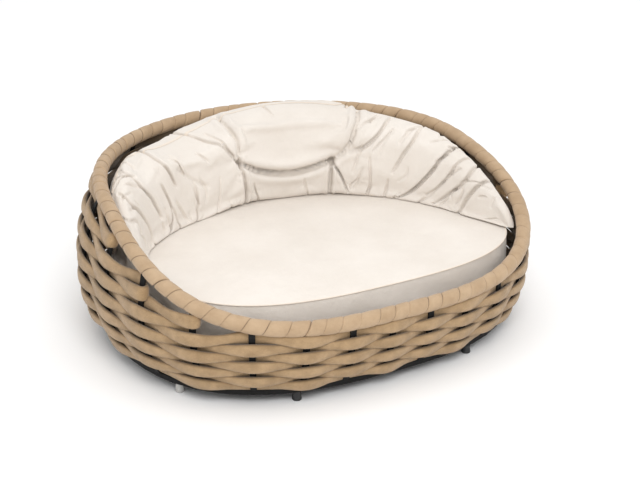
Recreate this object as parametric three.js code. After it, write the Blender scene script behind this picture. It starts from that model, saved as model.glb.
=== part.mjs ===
// Woven pet bed basket: a steel frame of ribs between a base ring and a sloping rim tube,
// wound with flat padded strands, with a box seat cushion and a loose crescent bolster.
// Millimetres, +Z up, front towards -Y. The origin is on the floor under the middle of the whole object.
import * as THREE from 'three';

// ---- Driving dimensions ----
// The wall is a stack of rounded outlines: squarer at the front, elliptical behind.
const HALF_WIDTH = 450;
const HALF_DEPTH = 412;
const FRONT_SQUARENESS = 2.69;
const BACK_SQUARENESS = 1.94;
// The wall bulges at one height and draws in below and above it.
const BULGE_Z = 152;
const LOWER_TAPER = 0.115;
const UPPER_TAPER = 0.114;
// The rim is low along the front and rises round the sides to the back.
const FRONT_RIM_Z = 162;
const BACK_RIM_Z = 335;
const RIM_RISE_START = 1.36;
const RIM_RISE_END = 4.2;

const RIM_TUBE_RADIUS = 9;
const WRAP_OUTER_RADIUS = 15;
const WRAP_INNER_RADIUS = 9.5;
const WRAP_SLOT_HALF = 4;

const RIB_COUNT = 26;
const RIB_WIDTH = 12;
const RIB_THICKNESS = 4;
// Ribs stand closer together along the front than at the sides.
const RIB_CROWDING_FRONT = 0.04;
const RIB_CROWDING_SIDES = 0.18;
// The first rib stands this much of a rib space further round than half a space from the middle.
const RIB_SHIFT = 0.25;

const ROW_COUNT = 13;
const FIRST_ROW_Z = 41.5;
// The rows start this much higher once they are past the front.
const FIRST_ROW_LIFT = 6;
const FIRST_ROW_LIFT_DEPTH = 0.25;
const ROW_PITCH_FRONT = 16.2;
const ROW_PITCH_BACK = 21;
const ROW_SPREAD = 2;
const ROW_CLEARANCE = 1;
const STRAND_THICKNESS = 4;
// A strand stays flat for this far each side of a rib before it crosses to the other face.
const STRAND_FLAT_HALF = 8;

const BASE_RING_Z = 21;
const BASE_RING_HEIGHT = 10;
const BASE_RING_WIDTH = 24;
const BASE_RING_INSET = 12;
const CROSS_BAR_X = [-190, 0, 190];
const CROSS_BAR_WIDTH = 24;
const DECK_THICKNESS = 6;
const DECK_INSET = 9;
const FOOT_RADIUS = 9;
const FOOT_X = 192;
const SIDE_FOOT_X = 368;

// The seat cushion follows the rim's plan, further in along the front, and lies a little to the right.
const CUSHION_INSET = 34;
const CUSHION_FRONT_EXTRA = 20;
const CUSHION_X = 13;
const CUSHION_TOP_Z = 195;
const CUSHION_EDGE_RADIUS = 8;

// The wall's axis lies this far from the middle of the whole object.
const MIDDLE_SHIFT_X = -0.5;
const MIDDLE_SHIFT_Y = 4.2;

const GAP = 0.3;
const STATIONS = 56;

// ---- Bolster: sections along its crescent, right end to left end ----
// x, y: middle of the section. width: across the crescent. top: height of its crest.
const BOLSTER_SECTIONS = [
  { x: 367, y: -236, width: 20, top: 212 },
  { x: 357, y: -152, width: 56, top: 282 },
  { x: 341, y: -45, width: 90, top: 326 },
  { x: 282, y: 88, width: 148, top: 350 },
  { x: 158, y: 196, width: 184, top: 374 },
  { x: -20, y: 237, width: 192, top: 366 },
  { x: -172, y: 192, width: 178, top: 344 },
  { x: -268, y: 128, width: 132, top: 342 },
  { x: -336, y: 40, width: 76, top: 326 },
  { x: -357, y: -35, width: 42, top: 272 },
  { x: -358, y: -84, width: 16, top: 214 },
];
// Outline of one bolster section: across (-1 nest side, 1 wall side) and height (0 seat, 1 crest).
const BOLSTER_OUTLINE = [
  [-0.8, 0], [-1, 0.16], [-0.94, 0.46], [-0.66, 0.8], [-0.16, 0.98],
  [0.4, 1], [0.82, 0.84], [1, 0.5], [1, 0.16], [0.8, 0],
];

// ---- Finishes ----
const blackSteel = () => new THREE.MeshStandardMaterial({ color: 0x17171a, roughness: 0.55, metalness: 0.4 });
const tanStrap = () => new THREE.MeshStandardMaterial({ color: 0xc9ae86, roughness: 0.85, metalness: 0 });
const creamFabric = () => new THREE.MeshStandardMaterial({ color: 0xf3e9dc, roughness: 0.9, metalness: 0 });
const deckBoard = () => new THREE.MeshStandardMaterial({ color: 0x3a3836, roughness: 0.8, metalness: 0 });
const clearPlastic = () => new THREE.MeshStandardMaterial({ color: 0xd8d6d0, roughness: 0.35, metalness: 0 });

// ---- Wall and rim geometry ----
const signedPower = (value, power) => Math.sign(value) * Math.abs(value) ** power;

// Point on the wall's outline at an angle; angle 0 is +X and angles run towards +Y.
function wallOutline(angle) {
  const power = 2 / (Math.sin(angle) >= 0 ? BACK_SQUARENESS : FRONT_SQUARENESS);
  return new THREE.Vector2(
    HALF_WIDTH * signedPower(Math.cos(angle), power),
    HALF_DEPTH * signedPower(Math.sin(angle), power),
  );
}

// How much of its full size the outline has at height z.
function taper(z) {
  if (z < BULGE_Z) {
    return 1 - LOWER_TAPER * ((BULGE_Z - z) / BULGE_Z) ** 2;
  }
  return 1 - UPPER_TAPER * ((z - BULGE_Z) / (BACK_RIM_Z - BULGE_Z)) ** 2;
}

// 0 at the front of the wall and 1 at the back.
const depthFraction = (y) => THREE.MathUtils.clamp((y + HALF_DEPTH) / (2 * HALF_DEPTH), 0, 1);

function rimHeight(y) {
  const rise = 1 - (1 - depthFraction(y) ** RIM_RISE_START) ** RIM_RISE_END;
  return FRONT_RIM_Z + (BACK_RIM_Z - FRONT_RIM_Z) * rise;
}

function wallPoint(angle, z) {
  const point = wallOutline(angle).multiplyScalar(taper(z));
  return new THREE.Vector3(point.x, point.y, z);
}

// Outward normal of the wall's plan at an angle.
function wallNormal(angle) {
  const step = 0.002;
  const along = wallOutline(angle + step).sub(wallOutline(angle - step)).normalize();
  return new THREE.Vector3(along.y, -along.x, 0);
}

// Angles that cut the wall's outline into stretches of the wanted share of its length.
// shareAt maps evenly spaced values from 0 to shares of the length, starting at the front's middle.
function anglesAlongWall(count, shareAt) {
  const samples = 4000;
  const lengths = [0];
  const angleAt = (i) => -Math.PI / 2 + (2 * Math.PI * i) / samples;
  for (let i = 1; i <= samples; i += 1) {
    lengths.push(lengths[i - 1] + wallOutline(angleAt(i)).distanceTo(wallOutline(angleAt(i - 1))));
  }
  const total = lengths[samples];
  const angles = [];
  for (let k = 0; k < count; k += 1) {
    const wanted = shareAt(k / count) * total;
    const i = lengths.findIndex((length) => length >= wanted);
    const within = (wanted - lengths[i - 1]) / (lengths[i] - lengths[i - 1]);
    angles.push(THREE.MathUtils.lerp(angleAt(i - 1), angleAt(i), within));
  }
  return angles;
}

function ribShare(evenShare) {
  const u = evenShare + (0.5 + RIB_SHIFT) / RIB_COUNT;
  return u - (RIB_CROWDING_FRONT * Math.sin(2 * Math.PI * u)) / (2 * Math.PI)
    - (RIB_CROWDING_SIDES * Math.sin(4 * Math.PI * u)) / (4 * Math.PI);
}

const ringAngles = anglesAlongWall(STATIONS, (u) => u + 0.5 / STATIONS);

// ---- Meshes ----
// Closed body through a list of rings of points, each ring with the same number of points.
// Rings run counter-clockwise when seen from the end they lead towards.
function loft(rings, closed) {
  const size = rings[0].length;
  const positions = rings.flat().flatMap((point) => [point.x, point.y, point.z]);
  const index = [];
  const spans = closed ? rings.length : rings.length - 1;
  for (let r = 0; r < spans; r += 1) {
    const here = r * size;
    const next = ((r + 1) % rings.length) * size;
    for (let i = 0; i < size; i += 1) {
      const j = (i + 1) % size;
      index.push(here + i, here + j, next + j);
      index.push(here + i, next + j, next + i);
    }
  }
  if (!closed) {
    capRing(rings[0], 0, true, index);
    capRing(rings.at(-1), (rings.length - 1) * size, false, index);
  }
  const geometry = new THREE.BufferGeometry();
  geometry.setAttribute('position', new THREE.Float32BufferAttribute(positions, 3));
  geometry.setIndex(index);
  geometry.computeVertexNormals();
  return geometry;
}

// Flat cap over one convex ring, as a fan.
function capRing(ring, start, flipped, index) {
  for (let i = 1; i < ring.length - 1; i += 1) {
    const pair = flipped ? [i + 1, i] : [i, i + 1];
    index.push(start, start + pair[0], start + pair[1]);
  }
}

const part = new THREE.Group();
part.position.set(MIDDLE_SHIFT_X, MIDDLE_SHIFT_Y, 0);

function add(name, geometry, material) {
  const mesh = new THREE.Mesh(geometry, material);
  mesh.name = name;
  part.add(mesh);
  return mesh;
}

// ---- Rim ----
// Local frame of the rim at an angle: its centre, the direction down the wall, and across it.
function rimFrame(angle) {
  const centreAt = (a) => wallPoint(a, rimHeight(wallOutline(a).y));
  const step = 0.002;
  const centre = centreAt(angle);
  const along = centreAt(angle + step).sub(centreAt(angle - step)).normalize();
  const down = wallPoint(angle, centre.z - 1).sub(wallPoint(angle, centre.z + 1));
  down.addScaledVector(along, -down.dot(along)).normalize();
  const across = new THREE.Vector3().crossVectors(down, along);
  return { centre, along, down, across };
}

// Point of the rim's section, with the turn counted from straight down the wall.
function rimSectionPoint({ centre, down, across }, radius, turn) {
  return centre.clone()
    .addScaledVector(down, radius * Math.cos(turn))
    .addScaledVector(across, radius * Math.sin(turn));
}

function arcOfTurns(from, to, count) {
  return Array.from({ length: count }, (_, i) => THREE.MathUtils.lerp(from, to, i / (count - 1)));
}

function rimTubeRing(angle) {
  const frame = rimFrame(angle);
  const sides = 8;
  return Array.from({ length: sides }, (_, i) =>
    rimSectionPoint(frame, RIM_TUBE_RADIUS, -(2 * Math.PI * (i + 0.5)) / sides));
}

// The wrapping is a sleeve round the tube, open below where the ribs pass up to the tube.
function rimWrapRing(angle) {
  const frame = rimFrame(angle);
  const outerSlot = Math.asin(WRAP_SLOT_HALF / WRAP_OUTER_RADIUS);
  const innerSlot = Math.asin(WRAP_SLOT_HALF / WRAP_INNER_RADIUS);
  const outer = arcOfTurns(-outerSlot, outerSlot - 2 * Math.PI, 9);
  const inner = arcOfTurns(innerSlot - 2 * Math.PI, -innerSlot, 8);
  return [
    ...outer.map((turn) => rimSectionPoint(frame, WRAP_OUTER_RADIUS, turn)),
    ...inner.map((turn) => rimSectionPoint(frame, WRAP_INNER_RADIUS / Math.cos(Math.PI / 9), turn)),
  ];
}

add('rim_tube', loft(ringAngles.map(rimTubeRing), true), blackSteel());
add('rim_wrap', loft(ringAngles.map(rimWrapRing), true), tanStrap());

// ---- Ribs ----
// Each rib bends in the upright plane across the wall at its own place on the outline.
function makeRib(angle) {
  const foot = wallOutline(angle);
  const base = new THREE.Vector3(foot.x, foot.y, 0);
  const normal = wallNormal(angle);
  const along = new THREE.Vector3(-normal.y, normal.x, 0);
  const reach = base.dot(normal);
  const at = (z, out = 0, side = 0) => base.clone()
    .addScaledVector(normal, -(1 - taper(z)) * reach + out)
    .addScaledVector(along, side)
    .setZ(z);
  return { angle, at, y: foot.y, depth: depthFraction(foot.y) };
}

// Rim frame right above a rib: the one nearest to it along the wall.
function rimAbove(rib) {
  const along = rib.at(0, 0, 1).sub(rib.at(0));
  const reach = 0.1;
  const steps = 200;
  let best = null;
  for (let i = 0; i <= steps; i += 1) {
    const frame = rimFrame(rib.angle - reach + (2 * reach * i) / steps);
    const miss = Math.abs(frame.centre.clone().sub(rib.at(0)).dot(along));
    if (!best || miss < best.miss) {
      best = { ...frame, miss };
    }
  }
  return best;
}

const ribs = anglesAlongWall(RIB_COUNT, ribShare).map(makeRib);
for (const rib of ribs) {
  rib.rim = rimAbove(rib);
  rib.slope = Math.abs(rib.rim.along.z) / Math.hypot(rib.rim.along.x, rib.rim.along.y);
}

const BASE_TOP_Z = BASE_RING_Z + BASE_RING_HEIGHT;
const RIB_STEP_HEIGHT = 20;

function ribGeometry(rib) {
  const bottom = BASE_TOP_Z + GAP;
  const rise = Math.hypot(1, rib.slope);
  const top = rib.rim.centre.z - RIM_TUBE_RADIUS * rise - (RIB_WIDTH / 2) * rib.slope - 2 * GAP;
  const steps = Math.ceil((top - bottom) / RIB_STEP_HEIGHT);
  const rings = [];
  for (let i = 0; i <= steps; i += 1) {
    const z = THREE.MathUtils.lerp(bottom, top, i / steps);
    const halfWidth = RIB_WIDTH / 2;
    const half = RIB_THICKNESS / 2;
    rings.push([
      rib.at(z, half, -halfWidth), rib.at(z, half, halfWidth),
      rib.at(z, -half, halfWidth), rib.at(z, -half, -halfWidth),
    ]);
  }
  return loft(rings, false);
}

ribs.forEach((rib, i) => {
  add(`rib_${String(i + 1).padStart(2, '0')}`, ribGeometry(rib), blackSteel());
});

// ---- Woven rows ----
const rowPitch = (rib) => THREE.MathUtils.lerp(ROW_PITCH_FRONT, ROW_PITCH_BACK, rib.depth);
const firstRowHeight = (rib) => FIRST_ROW_Z + FIRST_ROW_LIFT * Math.min(1, rib.depth / FIRST_ROW_LIFT_DEPTH);
const strandHalfHeight = (rib) => (rowPitch(rib) - ROW_CLEARANCE) / 2;

// The rows that fit between the first row and the wrapped rim, and the height left over above them.
for (const rib of ribs) {
  const underRim = rib.rim.centre.z - WRAP_OUTER_RADIUS * Math.hypot(1, rib.slope);
  const highest = underRim - rib.slope * STRAND_FLAT_HALF - GAP - strandHalfHeight(rib);
  const room = highest - firstRowHeight(rib);
  rib.topRow = Math.min(ROW_COUNT - 1, Math.floor(room / rowPitch(rib)));
  rib.slack = room - rib.topRow * rowPitch(rib);
}

const rowPasses = (row, rib) => row <= rib.topRow;

// The rows spread apart towards the rim, so that the top one lies against it.
const rowHeight = (row, rib) =>
  firstRowHeight(rib) + row * rowPitch(rib) + rib.slack * (row / rib.topRow) ** ROW_SPREAD;

// Neighbouring rows pass a rib on opposite faces, and so does one row at neighbouring ribs.
const strandOffset = RIB_THICKNESS / 2 + 2 * GAP + STRAND_THICKNESS / 2;
const strandSide = (row, ribNumber) => ((row + ribNumber) % 2 === 0 ? -1 : 1);

function strandRing(row, ribNumber, side) {
  const rib = ribs[ribNumber];
  const z = rowHeight(row, rib);
  const out = strandSide(row, ribNumber) * strandOffset;
  const half = STRAND_THICKNESS / 2;
  const tall = strandHalfHeight(rib);
  return [
    rib.at(z - tall, out + half, side), rib.at(z - tall, out - half, side),
    rib.at(z + tall, out - half, side), rib.at(z + tall, out + half, side),
  ];
}

function rowGeometry(row) {
  const passes = ribs.map((rib) => rowPasses(row, rib));
  const closed = passes.every(Boolean);
  const first = closed ? 0 : passes.indexOf(true);
  const numbers = ribs.map((_, i) => i).filter((i) => i >= first && passes[i]);
  const rings = numbers.flatMap((i) => [
    strandRing(row, i, -STRAND_FLAT_HALF),
    strandRing(row, i, STRAND_FLAT_HALF),
  ]);
  return loft(rings, closed);
}

for (let row = 0; row < ROW_COUNT; row += 1) {
  add(`strand_row_${String(row + 1).padStart(2, '0')}`, rowGeometry(row), tanStrap());
}

// ---- Base ring, cross bars, deck and feet ----
// Point on the base, moved in from the wall's foot.
function basePoint(angle, inset, z) {
  return wallPoint(angle, BASE_TOP_Z).addScaledVector(wallNormal(angle), -inset).setZ(z);
}

function baseRingRing(angle) {
  const outer = BASE_RING_INSET - BASE_RING_WIDTH / 2;
  const inner = BASE_RING_INSET + BASE_RING_WIDTH / 2;
  return [
    basePoint(angle, outer, BASE_RING_Z), basePoint(angle, inner, BASE_RING_Z),
    basePoint(angle, inner, BASE_TOP_Z), basePoint(angle, outer, BASE_TOP_Z),
  ];
}

add('base_ring', loft(ringAngles.map(baseRingRing), true), blackSteel());

// How far towards the back (side 1) or front (side -1) the base's inset outline reaches at x.
function baseReach(x, inset, side) {
  let best = null;
  for (let i = 0; i <= 2000; i += 1) {
    const point = basePoint(side * (0.02 + (Math.PI - 0.04) * (i / 2000)), inset, 0);
    const miss = Math.abs(point.x - x);
    if (!best || miss < best.miss) {
      best = { miss, y: point.y };
    }
  }
  return best.y;
}

CROSS_BAR_X.forEach((x, i) => {
  const inner = BASE_RING_INSET + BASE_RING_WIDTH / 2 + 2 * GAP;
  const edges = [x - CROSS_BAR_WIDTH / 2, x + CROSS_BAR_WIDTH / 2];
  const front = Math.max(...edges.map((edge) => baseReach(edge, inner, -1)));
  const back = Math.min(...edges.map((edge) => baseReach(edge, inner, 1)));
  const bar = new THREE.BoxGeometry(CROSS_BAR_WIDTH, back - front, BASE_RING_HEIGHT);
  add(`cross_bar_${['left', 'middle', 'right'][i]}`, bar, blackSteel())
    .position.set(x, (front + back) / 2, BASE_RING_Z + BASE_RING_HEIGHT / 2);
});

function outlineShape(points) {
  return new THREE.Shape(points.map((point) => new THREE.Vector2(point.x, point.y)));
}

const deckOutline = ringAngles.map((angle) => basePoint(angle, DECK_INSET, 0));
const deck = new THREE.ExtrudeGeometry(outlineShape(deckOutline), { depth: DECK_THICKNESS, bevelEnabled: false });
add('deck_board', deck, deckBoard()).position.z = BASE_TOP_Z + GAP;

function addFoot(name, x, side, material) {
  const height = BASE_RING_Z - GAP;
  const foot = new THREE.CylinderGeometry(FOOT_RADIUS, FOOT_RADIUS, height, 16).rotateX(Math.PI / 2);
  add(name, foot, material).position.set(x, baseReach(x, BASE_RING_INSET, side), height / 2);
}

for (const [hand, sign] of [['left', -1], ['right', 1]]) {
  addFoot(`foot_front_${hand}`, sign * FOOT_X, -1, blackSteel());
  addFoot(`foot_back_${hand}`, sign * FOOT_X, 1, blackSteel());
  addFoot(`foot_side_${hand}`, sign * SIDE_FOOT_X, -1, clearPlastic());
}

// ---- Seat cushion ----
function cushionRing(edgeInset, z) {
  return ringAngles.map((angle) => {
    const { centre, along } = rimFrame(angle);
    const frontness = Math.max(0, -Math.sin(angle)) ** 2;
    const inset = CUSHION_INSET + CUSHION_FRONT_EXTRA * frontness + edgeInset;
    const outward = new THREE.Vector3(along.y, -along.x, 0).normalize();
    return centre.addScaledVector(outward, -inset).add(new THREE.Vector3(CUSHION_X, 0, 0)).setZ(z);
  });
}

const CUSHION_BOTTOM_Z = BASE_TOP_Z + DECK_THICKNESS + 2 * GAP;
add('seat_cushion', loft([
  cushionRing(CUSHION_EDGE_RADIUS, CUSHION_BOTTOM_Z),
  cushionRing(0, CUSHION_BOTTOM_Z + CUSHION_EDGE_RADIUS),
  cushionRing(0, CUSHION_TOP_Z - CUSHION_EDGE_RADIUS),
  cushionRing(CUSHION_EDGE_RADIUS, CUSHION_TOP_Z),
], false), creamFabric());

// ---- Bolster ----
const bolsterPath = new THREE.CatmullRomCurve3(
  BOLSTER_SECTIONS.map(({ x, y }) => new THREE.Vector3(x, y, 0)), false, 'centripetal',
);
const bolsterSize = new THREE.CatmullRomCurve3(
  BOLSTER_SECTIONS.map(({ width, top }) => new THREE.Vector3(width, top, 0)), false, 'catmullrom', 0.5,
);
const BOLSTER_STEPS = 3 * (BOLSTER_SECTIONS.length - 1);

function bolsterRing(step) {
  const t = step / BOLSTER_STEPS;
  const middle = bolsterPath.getPoint(t);
  const along = bolsterPath.getTangent(t);
  const outward = new THREE.Vector3(along.y, -along.x, 0);
  const size = bolsterSize.getPoint(t);
  const bottom = CUSHION_TOP_Z + GAP;
  return BOLSTER_OUTLINE.map(([across, up]) => middle.clone()
    .addScaledVector(outward, (across * size.x) / 2)
    .setZ(bottom + up * (size.y - bottom)));
}

const bolsterRings = Array.from({ length: BOLSTER_STEPS + 1 }, (_, step) => bolsterRing(step));
add('bolster', loft(bolsterRings, false), creamFabric());

export default part;
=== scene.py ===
"""Looks of the woven pet bed basket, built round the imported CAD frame. Metres, +Z up, front towards -Y."""
import math

import bpy
import numpy as np
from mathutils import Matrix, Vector


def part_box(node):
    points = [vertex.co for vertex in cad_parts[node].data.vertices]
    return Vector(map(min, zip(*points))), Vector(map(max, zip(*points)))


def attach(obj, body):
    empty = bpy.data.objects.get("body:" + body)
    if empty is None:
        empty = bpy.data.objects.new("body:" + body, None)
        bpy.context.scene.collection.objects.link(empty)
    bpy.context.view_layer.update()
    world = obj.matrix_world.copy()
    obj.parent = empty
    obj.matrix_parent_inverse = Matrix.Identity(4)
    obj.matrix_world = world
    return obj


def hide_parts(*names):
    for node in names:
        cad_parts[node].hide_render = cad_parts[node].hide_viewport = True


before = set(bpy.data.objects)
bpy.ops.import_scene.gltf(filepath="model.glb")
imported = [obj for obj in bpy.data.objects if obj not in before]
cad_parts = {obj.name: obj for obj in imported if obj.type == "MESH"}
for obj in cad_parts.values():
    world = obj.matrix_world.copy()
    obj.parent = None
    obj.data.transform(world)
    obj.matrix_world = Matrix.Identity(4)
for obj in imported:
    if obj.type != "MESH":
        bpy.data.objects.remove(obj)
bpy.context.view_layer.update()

RANDOM_SEED = 7
# Small angle used to measure directions along the wall.
ANGLE_STEP = 0.002

# ---- Driving dimensions of the wall, as in the CAD model ----
HALF_WIDTH = 0.450
HALF_DEPTH = 0.412
FRONT_SQUARENESS = 2.69
BACK_SQUARENESS = 1.94
BULGE_Z = 0.152
LOWER_TAPER = 0.115
UPPER_TAPER = 0.114
FRONT_RIM_Z = 0.162
BACK_RIM_Z = 0.335
RIM_RISE_START = 1.36
RIM_RISE_END = 4.2
RIB_COUNT = 26
RIB_CROWDING_FRONT = 0.04
RIB_CROWDING_SIDES = 0.18
RIB_SHIFT = 0.25
ROW_COUNT = 13
ROW_PITCH_FRONT = 0.0162
ROW_PITCH_BACK = 0.0210
# A CAD strand passes a rib if it comes this near to the rib's place.
RIB_REACH = 0.020

# The base ring is centred on the wall, so its box gives the wall's middle in the row frame.
RING_LOW, RING_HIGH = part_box("base_ring")
MIDDLE_X = (RING_LOW[0] + RING_HIGH[0]) / 2
MIDDLE_Y = (RING_LOW[1] + RING_HIGH[1]) / 2

# ---- Strands and strap ----
STRAND_SWING = 0.0078
STRAND_THICKNESS = 0.0112
# Half widths of a strand over a rib and where it crosses a gap, as shares of the pitch of the rows.
STRAND_HALF_AT_RIB = 0.80
STRAND_HALF_CROSSING = 0.57
STRAND_HALF_LIMIT = 0.0165
STRAND_GIRTH = 4 * STRAND_HALF_LIMIT
# A strand is this much thinner, as a share, where it crosses between ribs, and wanders up and down this far.
STRAND_THINNING = 0.20
STRAND_WANDER = 0.0009
STRAND_WIDTH_SPREAD = 0.02
# Section of a strand, as powers of a plain oval's sine and cosine: lower is squarer.
STRAND_EDGE_POWER = 0.9
STRAND_FACE_POWER = 0.75
# How much of the wall's lean a strand takes.
STRAND_LEAN = 0.8
# How far a strand's end reaches past its last rib as it turns in behind it.
CURL_REACH = 0.0125
CURL_RETURN = 0.004
STRAND_SAMPLES = 16
STRAND_SIDES = 16
WRAP_RADIUS = 0.0142
WRAP_PITCH = 0.0350
# Mesh lines across one turn of the strap, close together beside its seam.
WRAP_STEPS = (0, 0.015, 0.035, 0.07, 0.13, 0.22, 0.33, 0.44, 0.56, 0.67, 0.78, 0.87, 0.93, 0.965, 0.985)
WRAP_SIDES = 36
WRAP_WOBBLE = 0.16
# Depth of the groove at a seam and its half width, then how many times deeper each kind of seam is and how
# common that kind is.
SEAM_DEPTH = 0.0023
SEAM_HALF_OPENING = 0.0010
SEAM_KINDS = [0.4, 0.7, 1.0, 2.4]
SEAM_KIND_SHARES = [0.35, 0.3, 0.25, 0.1]
# Swell of each turn between its seams, and how much higher its overlapping edge lies.
TURN_SWELL = 0.0006
TURN_LEAN = 0.0007

# ---- Seat cushion, as in the CAD model ----
CUSHION_INSET = 0.034
CUSHION_FRONT_EXTRA = 0.020
CUSHION_X = 0.013
# The cover starts this far above and below the CAD solid's faces, and its top and bottom are crowned.
COVER_BOTTOM_GAP = 0.002
COVER_TOP_GAP = 0.004
COVER_EDGE_INSET = 0.003
TOP_CROWN = 0.004
BOTTOM_CROWN = -0.001
# The side pulls in towards its top and bottom edges, evenly and then once more close to the edge.
SIDE_PULL = 0.001
EDGE_PULL = 0.002
SIDE_SOFTNESS = 0.0022
PIPING_INSET = 0.0026
PIPING_RADIUS = 0.0017
CUSHION_COLUMNS = 360

# ---- Bolster: middle, width and crest height of its sections, right end to left end ----
BOLSTER_SECTIONS = [
    (0.374, -0.250, 0.018, 0.214), (0.358, -0.152, 0.056, 0.284), (0.342, -0.045, 0.090, 0.328),
    (0.283, 0.088, 0.148, 0.352), (0.158, 0.198, 0.184, 0.380), (-0.020, 0.240, 0.192, 0.374),
    (-0.178, 0.198, 0.182, 0.350), (-0.284, 0.134, 0.144, 0.348), (-0.357, 0.040, 0.092, 0.332),
    (-0.378, -0.035, 0.058, 0.288), (-0.376, -0.095, 0.022, 0.220),
]
# Across (-1 nest side, 1 wall side) and height (0 seat, 1 crest) round one section.
BOLSTER_OUTLINE = [
    (-0.82, 0), (-1.04, 0.18), (-1.0, 0.48), (-0.72, 0.82), (-0.18, 0.99),
    (0.4, 1), (0.82, 0.84), (1, 0.5), (1, 0.16), (0.8, 0),
]
BOLSTER_ROWS = 300
BOLSTER_COLUMNS = 96
# The ends round off over this share of the length, to this share of the section.
BOLSTER_END_SHARE = 0.022
BOLSTER_TIP = 0.06
BOLSTER_GIRTH = 0.50
RESTS_BELOW = 0.0005
# The cover is cut longer, straighter and wider than it lies, so that it gathers into folds.
CUT_LONGER = 1.08
CUT_STRAIGHTER = 0.90
CUT_WIDER = 1.05
# The middle lobe and the belly below it: middle (share along, share around), half widths, how flat it is along
# the bolster (2 is a plain bell), and push outwards.
LOBE = ((0.488, 0.30), (0.105, 0.17), 2, 0.016)
BELLY = ((0.490, 0.085), (0.085, 0.05), 4, 0.006)
WALL_SIDE_FOLDS = 46
WING_GATHERS = 44
HELD_AT_TUFT = 0.008
HELD_IN_CREASE = 0.012
# Folds fade over this share of the length at each end, down to this share of their depth.
END_FADE = 0.08
END_RELIEF = 0.2
SIMULATION_FRAMES = 20
SIMULATION_CAP = 0.012
# Tufts, then creases as points (share along, share around from the nest side's foot), depth and half width.
TUFT_LEFT, TUFT_RIGHT = (0.606, 0.22), (0.380, 0.19)
# A fold's lip stands this many of its half widths from it, and is this many wide.
LIP_PLACE = 2.3
LIP_WIDTH = 1.2
TUFT_DEPTH = 0.013
TUFT_RADIUS = 0.014
LOBE_CREASE = ([TUFT_LEFT, (0.556, 0.175), (0.488, 0.150), (0.429, 0.162), TUFT_RIGHT], 0.018, 0.0075)
DEEP_FOLDS = [
    ([(0.585, 0.50), (0.598, 0.37), (0.600, 0.29), TUFT_LEFT], 0.010, 0.008),
    ([TUFT_LEFT, (0.599, 0.12), (0.601, 0.02)], 0.010, 0.006),
    ([(0.346, 0.52), (0.333, 0.36), (0.343, 0.25), TUFT_RIGHT], 0.010, 0.008),
    ([TUFT_RIGHT, (0.382, 0.12), (0.385, 0.02)], 0.010, 0.006),
]
SOFT_FOLDS = [
    ([(0.748, 0.56), (0.778, 0.40), (0.775, 0.30), (0.772, 0.24)], 0.007, 0.007),
    ([(0.862, 0.50), (0.865, 0.32), (0.846, 0.23), (0.836, 0.15)], 0.008, 0.006),
    ([(0.668, 0.50), (0.654, 0.37), (0.632, 0.29), (0.612, 0.23)], 0.006, 0.006),
    ([(0.640, 0.40), (0.628, 0.29), (0.610, 0.23)], 0.004, 0.005),
    ([(0.750, 0.29), (0.725, 0.24), (0.690, 0.19)], 0.003, 0.009),
    ([(0.808, 0.26), (0.800, 0.18), (0.802, 0.11), (0.825, 0.02)], 0.008, 0.006),
    ([(0.795, 0.16), (0.786, 0.08), (0.781, 0.01)], 0.005, 0.005),
    ([(0.911, 0.48), (0.922, 0.33), (0.885, 0.17), (0.875, 0.02)], 0.006, 0.006),
    ([(0.945, 0.56), (0.955, 0.42), (0.930, 0.20)], 0.004, 0.005),
    ([(0.720, 0.22), (0.722, 0.12), (0.735, 0.02)], 0.005, 0.006),
    ([(0.660, 0.20), (0.668, 0.11), (0.680, 0.02)], 0.003, 0.006),
    ([(0.513, 0.50), (0.508, 0.42), (0.503, 0.36)], 0.003, 0.005),
    ([(0.575, 0.13), (0.556, 0.02)], 0.004, 0.005),
    ([(0.450, 0.12), (0.440, 0.02)], 0.003, 0.006),
    ([(0.343, 0.23), (0.311, 0.26), (0.288, 0.33), (0.281, 0.46)], 0.007, 0.006),
    ([(0.378, 0.18), (0.357, 0.13), (0.342, 0.04)], 0.007, 0.005),
    ([(0.222, 0.46), (0.220, 0.33), (0.232, 0.25), (0.246, 0.18)], 0.006, 0.006),
    ([(0.142, 0.50), (0.155, 0.32), (0.175, 0.21), (0.203, 0.11), (0.235, 0.03)], 0.009, 0.006),
    ([(0.116, 0.46), (0.130, 0.27), (0.152, 0.17), (0.178, 0.10)], 0.006, 0.005),
    ([(0.095, 0.52), (0.097, 0.30), (0.117, 0.19), (0.162, 0.05)], 0.007, 0.006),
    ([(0.062, 0.50), (0.074, 0.31), (0.091, 0.17), (0.103, 0.02)], 0.008, 0.006),
    ([(0.300, 0.22), (0.296, 0.12), (0.302, 0.02)], 0.004, 0.006),
    ([(0.255, 0.14), (0.262, 0.02)], 0.004, 0.006),
    ([(0.038, 0.42), (0.043, 0.22)], 0.003, 0.005),
]
# Stitched seam along the cover's top: share along and share around.
SEAM = [(0.03, 0.62), (0.20, 0.62), (0.31, 0.60), (0.348, 0.51), (0.40, 0.45), (0.52, 0.445), (0.65, 0.455),
        (0.74, 0.455), (0.80, 0.50), (0.87, 0.56), (0.97, 0.54)]
SEAM_HALF_WIDTH = 0.0042
SEAM_HALF_THICKNESS = 0.0007
SEAM_STANDS_OUT = 0.0004
SEAM_GIRTH = 0.011
SEAM_STEPS = 520


# ---- Wall geometry ----
def signed_power(value, power):
    return np.sign(value) * np.abs(value) ** power


def wall_outline(angle):
    power = 2 / np.where(np.sin(angle) >= 0, BACK_SQUARENESS, FRONT_SQUARENESS)
    return (HALF_WIDTH * signed_power(np.cos(angle), power),
            HALF_DEPTH * signed_power(np.sin(angle), power))


def taper(z):
    low = 1 - LOWER_TAPER * ((BULGE_Z - z) / BULGE_Z) ** 2
    high = 1 - UPPER_TAPER * ((z - BULGE_Z) / (BACK_RIM_Z - BULGE_Z)) ** 2
    return np.where(z < BULGE_Z, low, high)


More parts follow.
